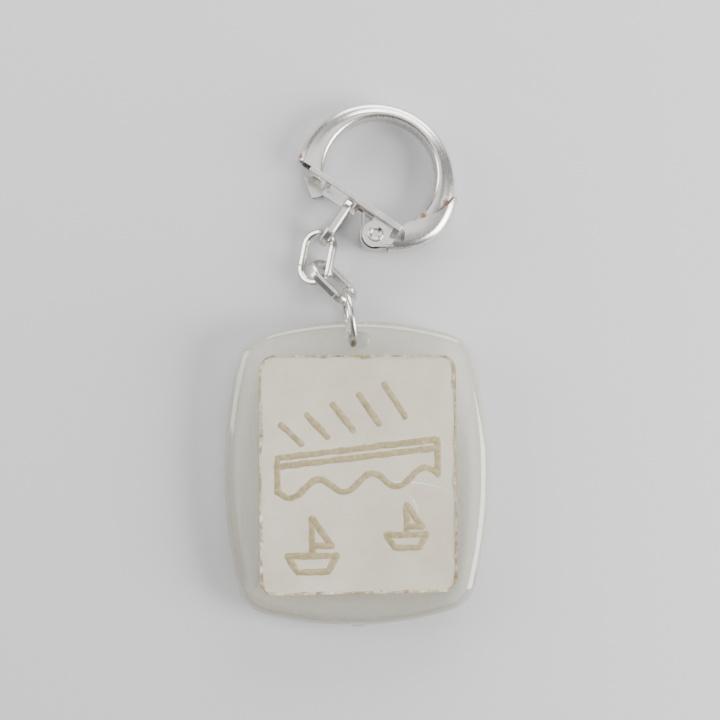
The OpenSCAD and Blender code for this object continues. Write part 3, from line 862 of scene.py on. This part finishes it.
def slot():
    bm = bmesh.new()
    far = math.degrees(math.asin(SLOT_SIDE / SLOT_FAR))
    outline = arc(0, 0, SLOT_FAR, 18, far, 8) + [(SLOT_NEAR, SLOT_SIDE)] + arc(0, 0, SLOT_NEAR, 50, 18, 6)
    plate(bm, outline, SLEEVE_HIGH - 0.7, SLEEVE_HIGH + 0.5)
    return bm


def hinge_sleeve():
    bm = crescent_sheet(sleeve_outline(), sleeve_edge,
                        lambda p: seam_test(p) - 0.03, lambda p: p.x - WALL_END,
                        (math.radians(-45), math.radians(40)), (math.radians(-20), math.radians(-70)), 40)
    bmesh.ops.solidify(bm, geom=bm.faces[:], thickness=SHEET)
    piece = finish_piece("pressed_sleeve", bm, RING_TO_TABLE, "snap_ring", sleeve_plate,
                         ["hinge_sleeve"])
    for z in (SLEEVE_LOW, SLEEVE_HIGH - EAR_T):
        combine(piece, ear(z), RING_TO_TABLE, "UNION")
    return combine(piece, slot(), RING_TO_TABLE, "DIFFERENCE")


hinge_sleeve()

# %% [markdown]
# ## Gate and leaf spring
#
# The gate is one folded strip: a rail on top, a web, a thumb tab and two ears. The
# CAD solid already has every fold in the right place, so its surface is copied and
# merged, its flats are joined into single faces, and its edges are eased as a
# stamping's are.

# %% Pieces from a CAD surface
GATE_EASE, SPRING_EASE = 0.11, 0.04


def from_cad(name, node, body, finish, ease):
    bm = bmesh.new()
    bm.from_mesh(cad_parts[node].data)
    bm.transform(Matrix.Scale(1000, 4))
    bmesh.ops.remove_doubles(bm, verts=bm.verts, dist=0.002)
    bmesh.ops.dissolve_limit(bm, angle_limit=math.radians(2), verts=bm.verts, edges=bm.edges)
    return finish_piece(name, bm, Matrix.Identity(4), body, finish, [node],
                        crisp=32, bevel=ease, steps=3)


from_cad("folded_gate", "gate", "gate", gate_plate, GATE_EASE)
from_cad("bent_leaf_spring", "leaf_spring", "snap_ring", spring_plate, SPRING_EASE)

# %% [markdown]
# ## Pivot eyelet
#
# A tubular rivet: a barrel whose ends are rolled outward over the ears. Its half
# section is spun round once, so the rolled rims come out round.

# %% Eyelet
def pivot_eyelet():
    bore, barrel_r, rim, roll = 0.525, 0.78, 1.225, 0.2
    low, high = SLEEVE_LOW, SLEEVE_HIGH
    upper = [(barrel_r, high), (rim - 0.06, high)]
    upper += [(rim - roll + roll * math.cos(a), high + 0.06 + 0.14 * math.sin(a))
              for a in (0.0, 0.6, 1.1, 1.57)]
    upper += [(0.85, high + roll), (0.70, high + 0.16), (0.6, high + 0.05), (bore, high - 0.1)]
    section = upper + [(x, low + high - z) for x, z in reversed(upper)]
    bm = bmesh.new()
    verts = [bm.verts.new((x, 0, z)) for x, z in section]
    edges = [bm.edges.new((verts[i - 1], verts[i])) for i in range(len(verts))]
    bmesh.ops.spin(bm, geom=[*verts, *edges], cent=(0, 0, 0), axis=(0, 0, 1), angle=2 * math.pi, steps=64,
                   use_merge=True, use_duplicate=False)
    return finish_piece("rolled_eyelet", bm, RING_TO_TABLE, "snap_ring", eyelet_plate,
                        ["pivot_eyelet"], crisp=60)


pivot_eyelet()

# %% [markdown]
# ## Floor, light and camera
#
# A plain pale floor at the table's height and a big soft light overhead. Three lower
# ones, at the right, the left and the far side, draw the bright bands on the metal
# and the rim. The camera looks almost straight down from the left of the chain.

# %% Floor
def floor():
    bm = bmesh.new()
    bmesh.ops.create_grid(bm, x_segments=1, y_segments=1, size=600)
    mesh = bpy.data.meshes.new("floor")
    bm.transform(Matrix.Scale(0.001, 4) @ Matrix.Translation((0, 20, TABLE)))
    bm.to_mesh(mesh)
    bm.free()
    ground = bpy.data.objects.new("floor", mesh)
    bpy.context.scene.collection.objects.link(ground)
    finish, tree, shader, place = start_finish("pale floor")
    shader.inputs["Base Color"].default_value = (0.62, 0.62, 0.63, 1)
    shader.inputs["Roughness"].default_value = 0.7
    mesh.materials.append(finish)


floor()


# %% Lights
def softbox(name, place, aim, size, power):
    lamp = bpy.data.lights.new(name, "AREA")
    lamp.shape, lamp.size, lamp.size_y, lamp.energy = "RECTANGLE", size[0] / 1000, size[1] / 1000, power
    holder = bpy.data.objects.new(name, lamp)
    holder.location = Vector(place) / 1000
    holder.rotation_euler = (Vector(aim) - Vector(place)).to_track_quat("-Z", "Y").to_euler()
    bpy.context.scene.collection.objects.link(holder)


softbox("ceiling", (-60, 120, 520), (0, 20, 0), (460, 460), 0.95)
softbox("right_window", (330, -80, 170), (5, 15, 0), (220, 300), 3.2)
softbox("left_card", (-320, 120, 120), (0, 25, 0), (200, 300), 1.3)
softbox("far_card", (90, 380, 130), (0, 40, 0), (420, 200), 2.2)
world = bpy.data.worlds.new("room")
bpy.context.scene.world = world
world.use_nodes = True
world.node_tree.nodes["Background"].inputs["Color"].default_value = (0.78, 0.81, 0.86, 1)
world.node_tree.nodes["Background"].inputs["Strength"].default_value = 0.30

# %% Camera
EYE, AIM, ROLL, LENS = (-19.0, 2.0, 200.0), (1.0, 17.2, -1.0), -0.6, 65.0
eye, aim = Vector(EYE) / 1000, Vector(AIM) / 1000
lens = bpy.data.cameras.new("camera")
lens.sensor_width, lens.lens, lens.clip_start, lens.clip_end = 36, LENS, 0.01, 10
camera = bpy.data.objects.new("camera", lens)
back = (eye - aim).normalized()
right = Vector((0, 1, 0)).cross(back).normalized()
level = Matrix((right, back.cross(right), back)).transposed().to_4x4()
camera.matrix_world = Matrix.Translation(eye) @ level @ turn(ROLL, "Z")
bpy.context.scene.collection.objects.link(camera)
bpy.context.scene.camera = camera
off_plumb = round(math.degrees(math.acos(back.z)), 1)
print("camera", round(eye.z * 1000), "mm up, looking down", off_plumb, "degrees off plumb")
